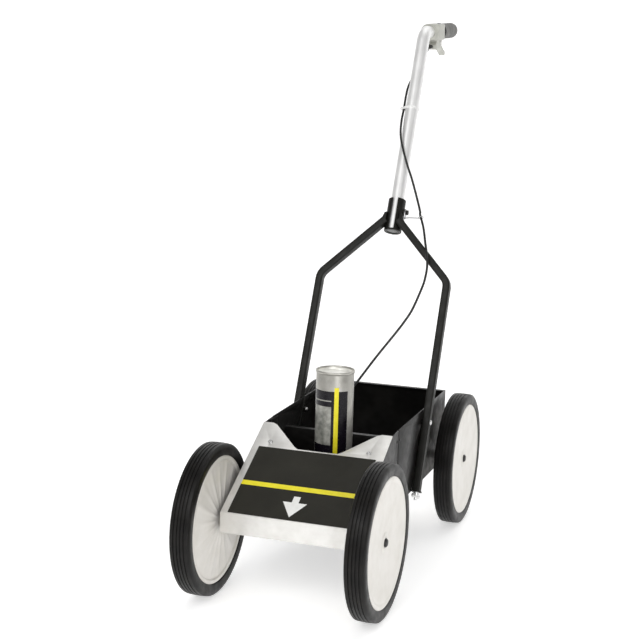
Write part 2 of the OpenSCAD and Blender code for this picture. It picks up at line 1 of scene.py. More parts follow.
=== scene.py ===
# Line striping machine: the looks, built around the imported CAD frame.
# Metres. Millimetre figures in this file are in the frame of the wheelbase centre and pass through S().
import bpy, bmesh, math, json
from mathutils import Vector, Matrix
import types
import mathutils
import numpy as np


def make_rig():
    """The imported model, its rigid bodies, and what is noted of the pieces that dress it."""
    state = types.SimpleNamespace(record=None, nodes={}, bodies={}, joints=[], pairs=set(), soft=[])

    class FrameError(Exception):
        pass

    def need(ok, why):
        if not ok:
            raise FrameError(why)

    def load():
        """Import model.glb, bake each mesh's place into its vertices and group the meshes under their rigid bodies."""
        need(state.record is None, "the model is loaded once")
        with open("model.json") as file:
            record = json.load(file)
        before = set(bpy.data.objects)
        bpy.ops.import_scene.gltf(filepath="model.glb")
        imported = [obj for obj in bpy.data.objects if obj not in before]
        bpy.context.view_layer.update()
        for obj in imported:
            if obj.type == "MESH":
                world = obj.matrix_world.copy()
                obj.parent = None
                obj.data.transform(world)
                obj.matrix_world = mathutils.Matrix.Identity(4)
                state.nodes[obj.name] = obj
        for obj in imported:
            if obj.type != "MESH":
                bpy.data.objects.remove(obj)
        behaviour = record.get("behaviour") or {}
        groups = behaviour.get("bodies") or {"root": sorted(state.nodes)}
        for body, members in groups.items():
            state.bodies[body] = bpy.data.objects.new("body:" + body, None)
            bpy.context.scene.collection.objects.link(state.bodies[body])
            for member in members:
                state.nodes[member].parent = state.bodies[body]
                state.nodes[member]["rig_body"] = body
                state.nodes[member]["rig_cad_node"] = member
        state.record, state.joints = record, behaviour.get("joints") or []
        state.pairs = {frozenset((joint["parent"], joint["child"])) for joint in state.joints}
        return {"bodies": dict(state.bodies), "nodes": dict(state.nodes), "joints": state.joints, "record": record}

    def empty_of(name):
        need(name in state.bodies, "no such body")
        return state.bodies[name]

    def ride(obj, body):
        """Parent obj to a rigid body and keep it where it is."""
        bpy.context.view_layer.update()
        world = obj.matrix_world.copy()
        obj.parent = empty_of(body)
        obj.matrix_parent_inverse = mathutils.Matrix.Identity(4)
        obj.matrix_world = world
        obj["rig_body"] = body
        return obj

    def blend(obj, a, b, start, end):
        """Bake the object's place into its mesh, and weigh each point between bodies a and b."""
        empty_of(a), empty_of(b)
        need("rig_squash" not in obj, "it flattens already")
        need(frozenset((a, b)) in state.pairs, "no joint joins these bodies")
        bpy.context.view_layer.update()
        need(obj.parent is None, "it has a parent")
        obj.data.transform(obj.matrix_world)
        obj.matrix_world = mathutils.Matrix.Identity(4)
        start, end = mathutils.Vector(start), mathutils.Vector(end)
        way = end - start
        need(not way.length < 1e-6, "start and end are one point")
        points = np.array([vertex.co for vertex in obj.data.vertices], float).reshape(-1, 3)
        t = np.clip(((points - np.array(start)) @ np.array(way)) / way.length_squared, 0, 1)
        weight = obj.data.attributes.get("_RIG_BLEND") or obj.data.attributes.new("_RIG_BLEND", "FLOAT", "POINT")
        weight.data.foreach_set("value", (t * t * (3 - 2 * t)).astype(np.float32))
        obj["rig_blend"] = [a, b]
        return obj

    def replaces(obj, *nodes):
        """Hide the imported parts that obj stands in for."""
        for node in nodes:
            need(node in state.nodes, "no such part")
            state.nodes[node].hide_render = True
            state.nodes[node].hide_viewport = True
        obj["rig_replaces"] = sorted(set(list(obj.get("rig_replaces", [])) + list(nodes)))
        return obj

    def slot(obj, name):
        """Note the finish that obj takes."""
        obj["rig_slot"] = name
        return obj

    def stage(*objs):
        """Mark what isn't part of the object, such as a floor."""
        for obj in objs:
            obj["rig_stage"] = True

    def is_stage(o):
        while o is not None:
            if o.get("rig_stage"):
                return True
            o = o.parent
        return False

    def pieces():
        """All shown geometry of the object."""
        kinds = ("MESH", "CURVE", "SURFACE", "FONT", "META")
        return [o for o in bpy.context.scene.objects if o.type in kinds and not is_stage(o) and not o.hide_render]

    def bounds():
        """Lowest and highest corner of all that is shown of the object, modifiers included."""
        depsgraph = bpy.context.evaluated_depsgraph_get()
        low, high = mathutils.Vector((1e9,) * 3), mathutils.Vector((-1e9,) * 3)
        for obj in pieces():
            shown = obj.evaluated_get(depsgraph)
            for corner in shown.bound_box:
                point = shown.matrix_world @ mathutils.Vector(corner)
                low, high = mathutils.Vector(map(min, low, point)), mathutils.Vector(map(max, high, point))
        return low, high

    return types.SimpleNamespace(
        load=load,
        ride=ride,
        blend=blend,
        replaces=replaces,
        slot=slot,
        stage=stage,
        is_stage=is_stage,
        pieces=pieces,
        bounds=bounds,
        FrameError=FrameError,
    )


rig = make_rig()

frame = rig.load()
CAD_BOX = [list(v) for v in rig.bounds()]
NODES = frame["nodes"]
BODY_OF = {n: b for b, ns in frame["record"]["behaviour"]["bodies"].items() for n in ns}
SLOT_OF = {s["node"]: s["material_slot"] for s in frame["record"]["subparts"]}
scene = bpy.context.scene
MID = -129.0
sin, cos, rad, pi = math.sin, math.cos, math.radians, math.pi


def S(x, y, z):
    return Vector((x / 1000, (y + MID) / 1000, z / 1000))


# ------------------------------------------------------------------ camera
CP = Vector((0.70939, -2.21713 + MID / 1000, 0.83162))
_y, _p, _r = rad(19.04), rad(9.79), rad(1.57)
_d = Vector((-sin(_y) * cos(_p), cos(_y) * cos(_p), -sin(_p)))
_ri = Vector((cos(_y), sin(_y), 0))
_up = _ri.cross(_d)
_rr = cos(_r) * _ri + sin(_r) * _up
_uu = -sin(_r) * _ri + cos(_r) * _up
cam_data = bpy.data.cameras.new("camera")
cam = bpy.data.objects.new("camera", cam_data)
scene.collection.objects.link(cam)
cam.matrix_world = Matrix(((_rr.x, _uu.x, -_d.x, CP.x), (_rr.y, _uu.y, -_d.y, CP.y), (_rr.z, _uu.z, -_d.z, CP.z), (0, 0, 0, 1)))
cam_data.sensor_width = 36
cam_data.lens = 36 * 1329.85 / 640
cam_data.clip_end = 60
scene.camera = cam

# ------------------------------------------------------------------ materials


class Mat:
    """A principled material with object-space procedural detail."""

    def __init__(self, name, color, rough=0.5, metal=0.0, **kw):
        self.m = bpy.data.materials.new(name)
        self.m.use_nodes = True
        self.t = self.m.node_tree
        self.n = self.t.nodes
        self.b = self.n["Principled BSDF"]
        self.b.inputs["Base Color"].default_value = (*color, 1)
        self.b.inputs["Roughness"].default_value = rough
        self.b.inputs["Metallic"].default_value = metal
        for k, v in kw.items():
            self.b.inputs[k.replace("_", " ")].default_value = v
        self.tc = self.n.new("ShaderNodeTexCoord")
        self.color = color
        self.last_bump = None

    def link(self, a, b):
        self.t.links.new(a, b)

    def coords(self, scale=(1, 1, 1), rot=(0, 0, 0)):
        mp = self.n.new("ShaderNodeMapping")
        mp.inputs["Scale"].default_value = scale
        mp.inputs["Rotation"].default_value = rot
        self.link(self.tc.outputs["Object"], mp.inputs["Vector"])
        return mp.outputs["Vector"]

    def noise(self, scale, detail=3, stretch=(1, 1, 1), rot=(0, 0, 0), rough=0.55):
        nz = self.n.new("ShaderNodeTexNoise")
        nz.inputs["Scale"].default_value = scale
        nz.inputs["Detail"].default_value = detail
        nz.inputs["Roughness"].default_value = rough
        self.link(self.coords(stretch, rot), nz.inputs["Vector"])
        return nz.outputs["Fac"]

    def ramp(self, fac, stops):
        r = self.n.new("ShaderNodeValToRGB")
        el = r.color_ramp.elements
        while len(el) < len(stops):
            el.new(0.5)
        for e, (p, c) in zip(el, stops):
            e.position = p
            e.color = (c, c, c, 1) if isinstance(c, (int, float)) else (*c, 1)
        self.link(fac, r.inputs["Fac"])
        return r.outputs["Color"]

    def mix(self, fac, a, b):
        mx = self.n.new("ShaderNodeMix")
        mx.data_type = "RGBA"
        for sock, v in ((mx.inputs[0], fac), (mx.inputs[6], a), (mx.inputs[7], b)):
            if isinstance(v, bpy.types.NodeSocket):
                self.link(v, sock)
            elif isinstance(v, (int, float)):
                sock.default_value = v
            else:
                sock.default_value = (*v, 1)
        return mx.outputs[2]

    def set_color(self, out):
        self.link(out, self.b.inputs["Base Color"])
        return self

    def vary_color(self, scale, a, b, lo=0.35, hi=0.65, detail=4, stretch=(1, 1, 1)):
        return self.set_color(self.ramp(self.noise(scale, detail, stretch), [(lo, a), (hi, b)]))

    def vary_rough(self, scale, a, b, stretch=(1, 1, 1), detail=4, lo=0.35, hi=0.65, rot=(0, 0, 0)):
        self.link(self.ramp(self.noise(scale, detail, stretch, rot), [(lo, a), (hi, b)]), self.b.inputs["Roughness"])
        return self

    def bump(self, height, strength, dist=0.0005):
        bp = self.n.new("ShaderNodeBump")
        bp.inputs["Strength"].default_value = strength
        bp.inputs["Distance"].default_value = dist
        self.link(height, bp.inputs["Height"])
        if self.last_bump is not None:
            self.link(self.last_bump, bp.inputs["Normal"])
        self.last_bump = bp.outputs["Normal"]
        self.link(self.last_bump, self.b.inputs["Normal"])
        return self


def dust(m, base, dusty, low, high, top=0.02):
    """Base colour with a thin uneven veil of dust."""
    f = m.ramp(m.noise(38, 6), [(low, 0.0), (high, 1.0)])
    return m.set_color(m.mix(f, base, dusty))


M = {}
t = Mat("tyre_rubber", (0.012, 0.011, 0.010), 0.5, Specular_IOR_Level=0.22)
dust(t, (0.0045, 0.0041, 0.0038), (0.0125, 0.0112, 0.0095), 0.42, 0.80)
t.vary_rough(60, 0.34, 0.48)
t.bump(t.noise(900, 3), 0.25, 0.0003)
t.bump(t.noise(70, 4), 0.10, 0.001)
M["tyre_rubber"] = t.m

t = Mat("wheel_plastic", (0.78, 0.75, 0.71), 0.42, Coat_Weight=0.12, Coat_Roughness=0.25)
t.set_color(t.mix(t.ramp(t.noise(30, 5), [(0.40, 0.0), (0.75, 1.0)]), (0.76, 0.735, 0.695), (0.68, 0.655, 0.605)))
t.vary_rough(45, 0.36, 0.5)
t.bump(t.noise(420, 2), 0.10, 0.0003)
M["wheel_plastic"] = t.m

t = Mat("bush_nylon", (0.5, 0.48, 0.42), 0.45)
t.vary_color(120, (0.44, 0.42, 0.37), (0.56, 0.54, 0.48))
M["bush_nylon"] = t.m

t = Mat("zinc_steel", (0.66, 0.66, 0.66), 0.3, 1.0)
t.set_color(t.ramp(t.noise(260, 4), [(0.3, (0.56, 0.57, 0.58)), (0.7, (0.76, 0.75, 0.73))]))
t.vary_rough(300, 0.2, 0.42)
t.bump(t.noise(700, 2), 0.08, 0.0002)
M["zinc_steel"] = t.m

t = Mat("cap_black", (0.02, 0.02, 0.02), 0.5)
t.vary_rough(300, 0.42, 0.6)
t.vary_color(200, (0.014, 0.014, 0.014), (0.03, 0.03, 0.03))
M["cap_black"] = t.m

for nm, c0, c1, rg, sp in (("black_sheet", (0.0052, 0.0047, 0.0042), (0.013, 0.0118, 0.0105), (0.30, 0.44), 0.30),
                           ("black_tube", (0.0075, 0.0074, 0.0058), (0.016, 0.0158, 0.0132), (0.36, 0.50), 0.24)):
    t = Mat(nm, c0, 0.4, Specular_IOR_Level=sp)
    t.set_color(t.mix(t.ramp(t.noise(26, 6), [(0.45, 0.0), (0.80, 1.0)]), c0, c1))
    t.vary_rough(75, rg[0], rg[1])
    t.bump(t.noise(1100, 2), 0.12, 0.0002)
    M[nm] = t.m

t = Mat("bright_aluminium", (0.80, 0.80, 0.80), 0.48, 0.65)
t.set_color(t.ramp(t.noise(34, 6), [(0.3, (0.74, 0.73, 0.70)), (0.7, (0.87, 0.86, 0.835))]))
t.vary_rough(260, 0.36, 0.52, stretch=(0.04, 1, 1))
t.bump(t.noise(1500, 2, stretch=(0.02, 1, 1)), 0.10, 0.0002)
M["bright_aluminium"] = t.m

t = Mat("polished_aluminium", (0.84, 0.84, 0.835), 0.4, 0.75)
t.set_color(t.ramp(t.noise(30, 5), [(0.3, (0.86, 0.86, 0.855)), (0.7, (0.94, 0.94, 0.935))]))
t.vary_rough(40, 0.44, 0.54, stretch=(1, 0.2, 0.2))
t.bump(t.noise(900, 2, stretch=(1, 0.05, 0.05)), 0.03, 0.0002)
M["polished_aluminium"] = t.m

t = Mat("decal_print", (0.020, 0.019, 0.014), 0.4, Specular_IOR_Level=0.22)
t.set_color(t.mix(t.ramp(t.noise(20, 5), [(0.35, 0.0), (0.8, 1.0)]), (0.017, 0.016, 0.0115), (0.026, 0.0245, 0.018)))
t.vary_rough(60, 0.34, 0.46)
t.bump(t.noise(500, 2), 0.05, 0.0002)
M["decal_print"] = t.m

t = Mat("print_yellow", (0.92, 0.80, 0.02), 0.35)
t.vary_color(90, (0.88, 0.77, 0.012), (0.95, 0.85, 0.03))
t.vary_rough(90, 0.28, 0.4)
M["print_yellow"] = t.m
t = Mat("print_white", (0.88, 0.88, 0.86), 0.35)
t.vary_color(90, (0.84, 0.84, 0.82), (0.91, 0.91, 0.89))
t.vary_rough(90, 0.28, 0.4)
M["print_white"] = t.m
t = Mat("print_grey", (0.30, 0.30, 0.28), 0.35)
t.set_color(t.ramp(t.noise(75, 5), [(0.30, (0.14, 0.145, 0.13)), (0.5, (0.30, 0.30, 0.27)), (0.72, (0.52, 0.51, 0.47))]))
t.vary_rough(90, 0.28, 0.4)
M["print_grey"] = t.m
t = Mat("print_dark", (0.006, 0.005, 0.008), 0.3, Specular_IOR_Level=0.25)
t.vary_color(60, (0.0045, 0.0035, 0.006), (0.009, 0.0075, 0.012))
t.vary_rough(90, 0.22, 0.34)
M["print_dark"] = t.m

t = Mat("black_rubber", (0.015, 0.015, 0.015), 0.7)
t.vary_rough(120, 0.6, 0.8)
t.vary_color(100, (0.012, 0.012, 0.012), (0.03, 0.03, 0.03))
M["black_rubber"] = t.m

t = Mat("grip_rubber", (0.14, 0.14, 0.135), 0.6)
t.vary_color(60, (0.16, 0.16, 0.155), (0.25, 0.248, 0.238))
t.vary_rough(120, 0.5, 0.72)
t.bump(t.noise(800, 3), 0.2, 0.0003)
M["grip_rubber"] = t.m

t = Mat("trigger_plastic", (0.47, 0.47, 0.43), 0.45)
t.vary_color(70, (0.42, 0.42, 0.38), (0.52, 0.52, 0.475))
t.vary_rough(90, 0.38, 0.55)
t.bump(t.noise(600, 2), 0.12, 0.0003)
M["trigger_plastic"] = t.m

t = Mat("cable_jacket", (0.014, 0.014, 0.014), 0.38, Specular_IOR_Level=0.35)
t.vary_color(80, (0.011, 0.011, 0.011), (0.022, 0.022, 0.022))
t.vary_rough(120, 0.3, 0.46)
M["cable_jacket"] = t.m

t = Mat("tie_nylon", (0.85, 0.85, 0.84), 0.4)
t.vary_color(100, (0.80, 0.80, 0.79), (0.9, 0.9, 0.89))
t.vary_rough(100, 0.34, 0.5)
M["tie_nylon"] = t.m

t = Mat("tin_dome", (0.86, 0.85, 0.80), 0.4, 0.5)
t.vary_color(60, (0.90, 0.89, 0.84), (0.96, 0.95, 0.90))
t.vary_rough(60, 0.36, 0.46)
M["tin_dome"] = t.m

t = Mat("can_tinplate", (0.42, 0.41, 0.37), 0.34, 0.85)
t.set_color(t.ramp(t.noise(50, 4), [(0.3, (0.40, 0.39, 0.355)), (0.7, (0.54, 0.53, 0.49))]))
t.vary_rough(60, 0.32, 0.42)
M["can_tinplate"] = t.m

t = Mat("can_print", (0.60, 0.59, 0.54), 0.36, 0.45)
t.vary_color(45, (0.34, 0.33, 0.30), (0.52, 0.51, 0.475), 0.3, 0.7)
t.vary_rough(60, 0.32, 0.42)
M["can_print"] = t.m

t = Mat("brass", (0.70, 0.60, 0.38), 0.3, 1.0)
t.vary_color(200, (0.62, 0.53, 0.33), (0.76, 0.66, 0.44))
t.vary_rough(200, 0.24, 0.4)
M["brass"] = t.m

t = Mat("spring_steel", (0.45, 0.45, 0.46), 0.3, 1.0)
t.vary_color(200, (0.38, 0.38, 0.39), (0.54, 0.54, 0.55))
t.vary_rough(200, 0.22, 0.4)
M["spring_steel"] = t.m

t = Mat("tip_plastic", (0.85, 0.85, 0.83), 0.4)
t.vary_color(100, (0.80, 0.80, 0.78), (0.9, 0.9, 0.88))
t.vary_rough(100, 0.34, 0.5)
M["tip_plastic"] = t.m

# ------------------------------------------------------------------ mesh tools


def obj_from(name, verts, faces, smooth=40, mat=None):
    me = bpy.data.meshes.new(name)
    me.from_pydata([tuple(v) for v in verts], [], faces)
    bm = bmesh.new()
    bm.from_mesh(me)
    bmesh.ops.recalc_face_normals(bm, faces=bm.faces)
    bm.to_mesh(me)
    bm.free()
    me.validate()
    shade(me, smooth)
    o = bpy.data.objects.new(name, me)
    scene.collection.objects.link(o)
    if mat:
        me.materials.append(M[mat])
    return o


def shade(me, angle):
    me.polygons.foreach_set("use_smooth", [True] * len(me.polygons))
    me.set_sharp_from_angle(angle=rad(angle))


def add_mod(o, kind, **kw):
    md = o.modifiers.new(kind.lower(), kind)
    for k, v in kw.items():
        setattr(md, k, v)
    return md


def apply_mods(o, smooth=35):
    dg = bpy.context.evaluated_depsgraph_get()
    me = bpy.data.meshes.new_from_object(o.evaluated_get(dg))
    old = o.data
    mats = [m for m in old.materials]
    o.modifiers.clear()
    o.data = me
    if not me.materials:
        for m in mats:
            me.materials.append(m)
    if smooth:
        shade(me, smooth)
    return o


def put(o, body, slot, *nodes):
    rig.ride(o, body)
    if nodes:
        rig.replaces(o, *nodes)
    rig.slot(o, slot)
    if not o.data.materials:
        o.data.materials.append(M[slot])
    return o


def lathe(name, prof, c, ax, seg=96, a0=0.0, a1=360.0, closed=True, mat=None, smooth=40):
    """Turns (radius, along) points in mm about the axis ax through c."""
    ax = Vector(ax).normalized()
    e1 = ax.orthogonal().normalized() if abs(ax.x) > 0.99 or abs(ax.z) < 0.99 else Vector((0, -1, 0))
    if abs(ax.z) > 0.99:
        e1 = Vector((0, -1, 0))
    elif abs(ax.x) > 0.99:
        e1 = Vector((0, 0, 1))
    e2 = ax.cross(e1)
    full = abs(a1 - a0) > 359.9
    n = seg if full else seg + 1
    vs, fs = [], []
    k = len(prof)
    for i in range(n):
        a = rad(a0 + (a1 - a0) * i / seg)
        dr = e1 * cos(a) + e2 * sin(a)
        for r, h in prof:
            vs.append(c + (dr * r + ax * h) / 1000)
    m = k if closed else k - 1
    for i in range(seg):
        i2 = (i + 1) % n
        for j in range(m):
            j2 = (j + 1) % k
            fs.append([i * k + j, i2 * k + j, i2 * k + j2, i * k + j2])
    if not full and closed:
        fs.append([j for j in range(k)])
        fs.append([(n - 1) * k + j for j in range(k)][::-1])
    o = obj_from(name, vs, fs, smooth, mat)
    bm = bmesh.new()
    bm.from_mesh(o.data)
    bmesh.ops.remove_doubles(bm, verts=bm.verts, dist=1e-6)
    bmesh.ops.recalc_face_normals(bm, faces=bm.faces)
    bm.to_mesh(o.data)
    bm.free()
    shade(o.data, smooth)
    return o


def rounded(pts, r, n=4, closed=True):
    """Rounds the corners of a 2-D outline. r is one radius or one for each point."""
    out = []
    k = len(pts)
    for i in range(k):
        p = Vector(pts[i])
        ri = r[i] if isinstance(r, (list, tuple)) else r
        if ri <= 0 or (not closed and i in (0, k - 1)):
            out.append(tuple(p))
            continue
        a = Vector(pts[i - 1]) - p
        b = Vector(pts[(i + 1) % k]) - p
        la, lb = a.length, b.length
        a.normalize(); b.normalize()
        ang = math.acos(max(-1, min(1, a.dot(b))))
        if ang > rad(178):
            out.append(tuple(p))
            continue
        tl = min(ri / math.tan(ang / 2), 0.49 * la, 0.49 * lb)
        rr = tl * math.tan(ang / 2)
        c = p + (a + b).normalized() * (rr / sin(ang / 2))
        s, e = p + a * tl - c, p + b * tl - c
        full = s.angle_signed(e) if s.length > 1e-9 else 0
        for q in range(n + 1):
            th = -full * q / n
            out.append((c.x + s.x * cos(th) - s.y * sin(th), c.y + s.x * sin(th) + s.y * cos(th)))
    return out


def prism(name, pts, f0, f1, mat=None, smooth=30, bevel=0.0, seg=2, limit=30):
    """A closed prism between two ways of placing the outline's points."""
    k = len(pts)
    vs = [f0(*p) for p in pts] + [f1(*p) for p in pts]
    fs = [list(range(k))[::-1], list(range(k, 2 * k))]
    fs += [[i, (i + 1) % k, k + (i + 1) % k, k + i] for i in range(k)]
    o = obj_from(name, vs, fs, smooth, mat)
    if bevel:
        add_mod(o, "BEVEL", width=bevel / 1000, segments=seg, limit_method="ANGLE", angle_limit=rad(limit))
        apply_mods(o, smooth)
    return o


def sweep(name, pts, section, mat=None, ref=None, smooth=40, caps=True, closed=False):
    """A section (list of 2-D mm points) carried along points in metres with parallel transport."""
    n = len(pts)
    tg = []
    for i in range(n):
        if closed:
            d = pts[(i + 1) % n] - pts[i - 1]
        else:
            d = pts[min(n - 1, i + 1)] - pts[max(0, i - 1)]
        tg.append(d.normalized())
    up = Vector(ref) if ref else tg[0].orthogonal()
    up = (up - tg[0] * up.dot(tg[0])).normalized()
    vs = []
    k = len(section)
    for i in range(n):
        if i:
            q = tg[i - 1].rotation_difference(tg[i])
            up = q @ up
            up = (up - tg[i] * up.dot(tg[i])).normalized()
        side = tg[i].cross(up)
        for x, y in section:
            vs.append(pts[i] + (side * x + up * y) / 1000)
    fs = []
    for i in range(n if closed else n - 1):
        for j in range(k):
            a, b = i * k, ((i + 1) % n) * k
            fs.append([a + j, b + j, b + (j + 1) % k, a + (j + 1) % k])
    if caps and not closed:
        fs.append(list(range(k)))
        fs.append([(n - 1) * k + j for j in range(k)][::-1])
    return obj_from(name, vs, fs, smooth, mat)


def circle2(r, n=16):
    return [(r * cos(2 * pi * i / n), r * sin(2 * pi * i / n)) for i in range(n)]


def cat(pts, m=8, closed=False):
    out = []
    n = len(pts)
    for i in range(n if closed else n - 1):
        a, b, c, d = (pts[(i - 1) % n if closed else max(0, i - 1)], pts[i % n], pts[(i + 1) % n if closed else i + 1],
                      pts[(i + 2) % n if closed else min(n - 1, i + 2)])
        for k in range(m):
            s = k / m
            out.append(0.5 * (2 * b + (c - a) * s + (2 * a - 5 * b + 4 * c - d) * s * s + (3 * b - 3 * c + d - a) * s ** 3))
    if not closed:
        out.append(pts[-1])
    return out


def from_cad(node, width, seg=2, angle=32, slot=None, name=None, smooth=35, flat=0.6):
    """A finished copy of a CAD node: planar facets merged, edges rounded."""
    src = NODES[node]
    me = src.data.copy()
    me.name = name or node + "_finish"
    me.materials.clear()
    o = bpy.data.objects.new(name or node + "_finish", me)
    scene.collection.objects.link(o)
    bm = bmesh.new()
    bm.from_mesh(me)
    bmesh.ops.remove_doubles(bm, verts=bm.verts, dist=2e-6)
    bmesh.ops.dissolve_limit(bm, angle_limit=rad(flat), verts=bm.verts, edges=bm.edges)
    bmesh.ops.recalc_face_normals(bm, faces=bm.faces)
    bm.to_mesh(me)
    bm.free()
    if width:
        add_mod(o, "BEVEL", width=width / 1000, segments=seg, limit_method="ANGLE", angle_limit=rad(angle), use_clamp_overlap=True, harden_normals=False)
    add_mod(o, "TRIANGULATE", quad_method="BEAUTY", ngon_method="BEAUTY")
    apply_mods(o, smooth)
    o.data.materials.clear()
    o.data.materials.append(M[slot or SLOT_OF[node]])
    put(o, BODY_OF[node], slot or SLOT_OF[node], node)
    return o


# ------------------------------------------------------------------ local frames
LEAN = rad(25)
YO = (0.0, 29.4, 136.3)


def YK(u, v, n):
    """Yoke frame: across, along the lean, to the rear of the yoke."""
    return S(u, YO[1] + v * sin(LEAN) + n * cos(LEAN), YO[2] + v * cos(LEAN) - n * sin(LEAN))


RISE = rad(4)


def HB(x, y, z):
    """Rearward handle frame: across, along it, up from it."""
    return S(x, 434 + y * cos(RISE) - z * sin(RISE), 952 + y * sin(RISE) + z * cos(RISE))


P_TOP = (-107.5, 258.1)
P_FOLD = (-296.0, 149.1)
SL_L = math.hypot(P_TOP[0] - P_FOLD[0], P_TOP[1] - P_FOLD[1])
_sd = ((P_FOLD[0] - P_TOP[0]) / SL_L, (P_FOLD[1] - P_TOP[1]) / SL_L)
_sn = (_sd[1], -_sd[0])


def SL(x, s, h):
    """Front panel frame: across, down the slope, out of the panel."""
    return S(x, P_TOP[0] + _sd[0] * s + _sn[0] * h, P_TOP[1] + _sd[1] * s + _sn[1] * h)


YK_DIR = (YK(0, 1, 0) - YK(0, 0, 0)).normalized()
YK_BACK = (YK(0, 0, 1) - YK(0, 0, 0)).normalized()
HB_DIR = (HB(0, 1, 0) - HB(0, 0, 0)).normalized()

# ------------------------------------------------------------------ wheels


def tyre_profile():
    """Half-open outline from the inner bead over the tread to the outer bead: (radius, across)."""
    p = [(106.7, -15.2), (107.6, -16.4), (109.5, -17.0), (112, -17.3), (116, -17.8), (119.5, -17.9), (122.6, -17.2), (124.6, -16.2)]
    edges = [-15.4, -9.6, -8.2, -3.5, -2.1, 2.1, 3.5, 8.2, 9.6, 15.4]
    crown = lambda x: 127.0 - 0.9 * (abs(x) / 15.4) ** 2.2
    for i in range(0, 10, 2):
        a, b = edges[i], edges[i + 1]
        p += [(crown(a) - (1.5 if i else 0.9), a - (0.15 if i else 0.35)), (crown(a) - 0.45, a + 0.12), (crown(a + 0.6), a + 0.6)]
        p += [(crown((a + b) / 2), (a + b) / 2)]
        p += [(crown(b - 0.6), b - 0.6), (crown(b) - 0.45, b - 0.12), (crown(b) - (1.5 if i < 8 else 0.9), b + (0.15 if i < 8 else 0.35))]
    p += [(124.6, 16.2), (122.6, 17.2), (119.5, 17.9), (116, 17.8), (112, 17.3), (109.5, 17.0), (107.6, 16.4), (106.7, 15.2)]
    return p


def wheel_profile():
    """Moulded wheel: rolled rim, shallow dished outer face with a moulding step, coned inner face flush with the rim, hub."""
    p = [(8.0, 12.4), (8.4, 12.6), (15.5, 12.6), (16.4, 12.2), (17.2, 11.6), (19.4, 11.5), (22, 11.8), (40, 12.7), (60, 13.8), (78, 14.8), (90, 15.4), (95.5, 15.7),
         (97.5, 15.6), (98.6, 15.9), (99.6, 16.4), (101.5, 16.6), (104, 16.6), (105.8, 16.2), (106.5, 15.2),
         (106.6, 0), (106.5, -15.0), (105.6, -15.8), (103.8, -16.0), (101.4, -16.0), (100.3, -15.7), (99.5, -14.6), (98.5, -13.5), (96.5, -13.4)]
    p += [(r, -13.2 - 5.6 * (98.5 - r) / 80.5) for r in (93, 88, 82, 76, 70, 64, 58, 52, 46, 40, 34, 29, 24, 20.5)]
    return p + [(17.6, -18.9), (16.0, -19.3), (15.0, -19.8), (14.2, -20.0), (8.4, -20.0), (8.0, -19.7)]


def soft_ribs(o, c, ax, count=18, a0=0.0):
    """Raises soft radial ribs on the coned inner face of a turned wheel."""
    A = Vector(ax)
    e1 = Vector((0, 0, 1))
    e2 = A.cross(e1)
    for v in o.data.vertices:
        q = (v.co - c) * 1000
        h = q.dot(A)
        w = q - A * h
        r = w.length
        if -19.2 < h < -13.0 and 19 < r < 97.5:
            th = math.atan2(w.dot(e2), w.dot(e1)) - a0
            k = 0.5 + 0.5 * cos(count * th)
            wide = min(1.0, (r - 19) / 8) * min(1.0, (97.5 - r) / 5)
            v.co = v.co - A * (1.15 * k ** 2.4 * wide) / 1000


for key, sx, sy in (("front_left", -1, -270.0), ("front_right", 1, -270.0), ("rear_left", -1, 270.0), ("rear_right", 1, 270.0)):
    c = S(sx * 145, sy, 127)
    ax = (sx, 0, 0)
    body = key + "_wheel"
    o = lathe("tyre_tread_" + key, tyre_profile(), c, ax, 180, smooth=38)
    put(o, body, "tyre_rubber", "tyre_" + key)
    o = lathe("wheel_disc_" + key, wheel_profile(), c, ax, 360, smooth=34)
    soft_ribs(o, c, ax)
    shade(o.data, 34)
    put(o, body, "wheel_plastic", "wheel_" + key)
    # axle cap
for sx in (-1, 1):
    for sy, nm in ((-270.0, "front"), (270.0, "rear")):
        o = lathe("axle_cap_%s_%s" % (nm, "right" if sx > 0 else "left"),
                  [(4.76, 11.5), (6.2, 11.5), (6.4, 11.7), (6.4, 12.8), (7.0, 12.82), (7.2, 13.05), (7.2, 13.8), (6.9, 14.1), (6.2, 14.2), (6.0, 15.2), (5.2, 15.9), (3.0, 16.15), (0.0, 16.2), (0.0, 12.3), (4.76, 12.25)],
                  S(sx * 145, sy, 127), (sx, 0, 0), 40)
        put(o, "chassis", "cap_black", "axle_caps")

# ------------------------------------------------------------------ yoke arms


def rrect(w, h, r, n=5):
    pts = []
    for cx, cy, a in ((w / 2 - r, h / 2 - r, 0), (-w / 2 + r, h / 2 - r, 90), (-w / 2 + r, -h / 2 + r, 180), (w / 2 - r, -h / 2 + r, 270)):
        for i in range(n + 1):
            t_ = rad(a + 90 * i / n)
            pts.append((cx + r * cos(t_), cy + r * sin(t_)))
    return pts


